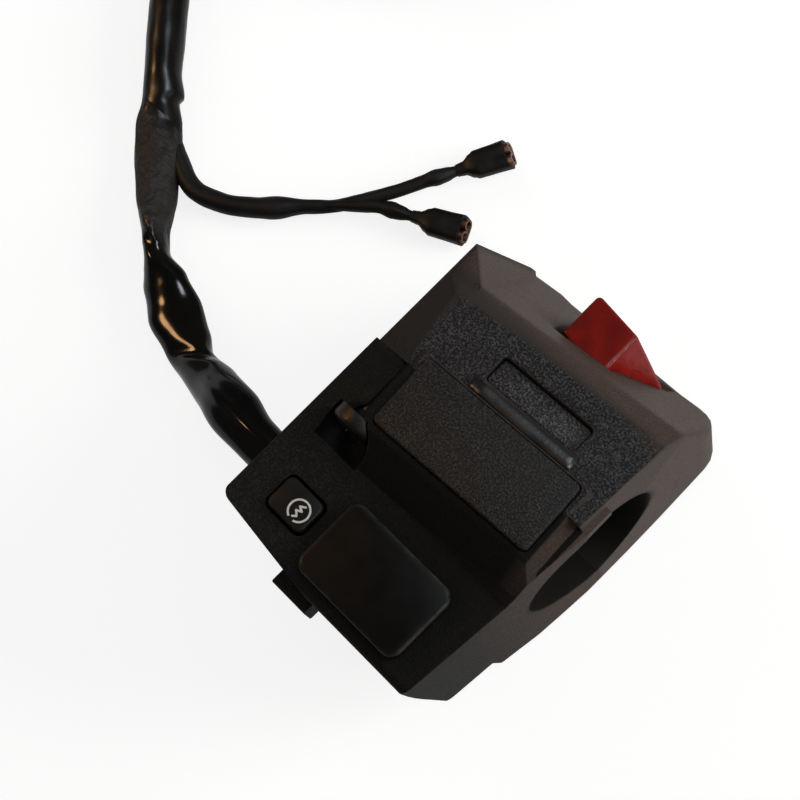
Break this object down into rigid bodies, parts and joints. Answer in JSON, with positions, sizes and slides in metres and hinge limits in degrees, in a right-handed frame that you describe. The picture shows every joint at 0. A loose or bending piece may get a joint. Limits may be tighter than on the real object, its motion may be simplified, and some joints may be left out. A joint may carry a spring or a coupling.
{
  "type": "handlebar switch cluster",
  "caption": "Clamp-on right-hand handlebar switch housing, split at the bar, with a red stop rocker, a sprung start button, blank covers and a sleeved loom ending in a connector.",
  "frame": {"origin": "on the handlebar's axis, at the middle of the housing's length", "axes": "+X along the handlebar towards the grip, +Y up on the motorbike, +Z towards the rider; the flat back faces -Z"},
  "size_m": [0.1506, 0.1481, 0.0388],
  "materials": {
    "housing": "moulded black, fine satin",
    "grained_cover": "moulded black, grained",
    "smooth_plug": "moulded black, smooth satin",
    "red_rocker": "moulded red, gloss",
    "black_button": "moulded black, satin",
    "white_mark": "white paint",
    "screw_steel": "zinc plated",
    "pin_steel": "bright",
    "spring_steel": "drawn wire",
    "contact_brass": "stamped",
    "bridge_copper": "rolled copper alloy",
    "contact_board": "moulded brown laminate",
    "retainer": "moulded dark grey",
    "black_rubber": "moulded",
    "red_wire": "insulation",
    "blue_wire": "insulation",
    "loom_sleeve": "soft sleeving, glossy",
    "lead_sleeve": "thin sleeving, glossy",
    "tie": "moulded",
    "connector": "moulded cream",
    "terminal_metal": "tarnished copper alloy",
    "terminal_sleeve": "soft sleeve"
  },
  "bodies": {
    "housing": {"upper_housing": "housing", "lower_housing": "housing", "middle_cover": "grained_cover", "window_insert": "grained_cover", "blanking_plug": "smooth_plug", "clamp_screws": "screw_steel", "stop_contact_base": "contact_board", "stop_contacts": "contact_brass", "start_spring": "spring_steel", "start_seal": "black_rubber", "start_retainer": "retainer", "start_contact_base": "contact_board", "start_contacts": "contact_brass", "base_screws": "screw_steel", "loom_grommet": "black_rubber", "stop_wires": "red_wire", "start_wires": "blue_wire", "loom": "loom_sleeve", "loom_coil": "loom_sleeve", "coil_tie": "tie", "loom_connector": "connector", "connector_pins": "contact_brass", "branch_sleeve": "lead_sleeve", "brake_lead_a": "lead_sleeve", "brake_lead_b": "lead_sleeve", "spade_terminals": "terminal_metal", "terminal_sleeves": "terminal_sleeve"},
    "stop_rocker": {"stop_rocker": "red_rocker", "rocker_pivot_pins": "pin_steel", "rocker_plunger": "contact_brass", "rocker_spring": "spring_steel"},
    "stop_bridge": {"stop_contact_bridge": "bridge_copper"},
    "start_button": {"start_button": "black_button", "start_symbol": "white_mark", "start_contact_bridge": "bridge_copper"}
  },
  "joints": [
    {"name": "stop_rocker_hinge", "type": "hinge", "parent": "housing", "child": "stop_rocker", "pos_m": [0.0015, 0.0166, 0], "axis": [0, 0, 1], "range_deg": [0, 16]},
    {"name": "stop_bridge_rock", "type": "hinge", "parent": "housing", "child": "stop_bridge", "pos_m": [0.0015, 0.01435, -0.0076], "axis": [0, 0, 1], "range_deg": [-10, 0]},
    {"name": "start_button_push", "type": "slide", "parent": "housing", "child": "start_button", "axis": [0, 0, -1], "range_m": [0, 0.0022], "stiffness_N_per_m": 600, "springref_m": -0.0015, "deforming": ["start_spring"]}
  ],
  "couplings": [
    {"joint": "stop_bridge_rock", "follows": "stop_rocker_hinge", "ratio": -0.625}
  ]
}
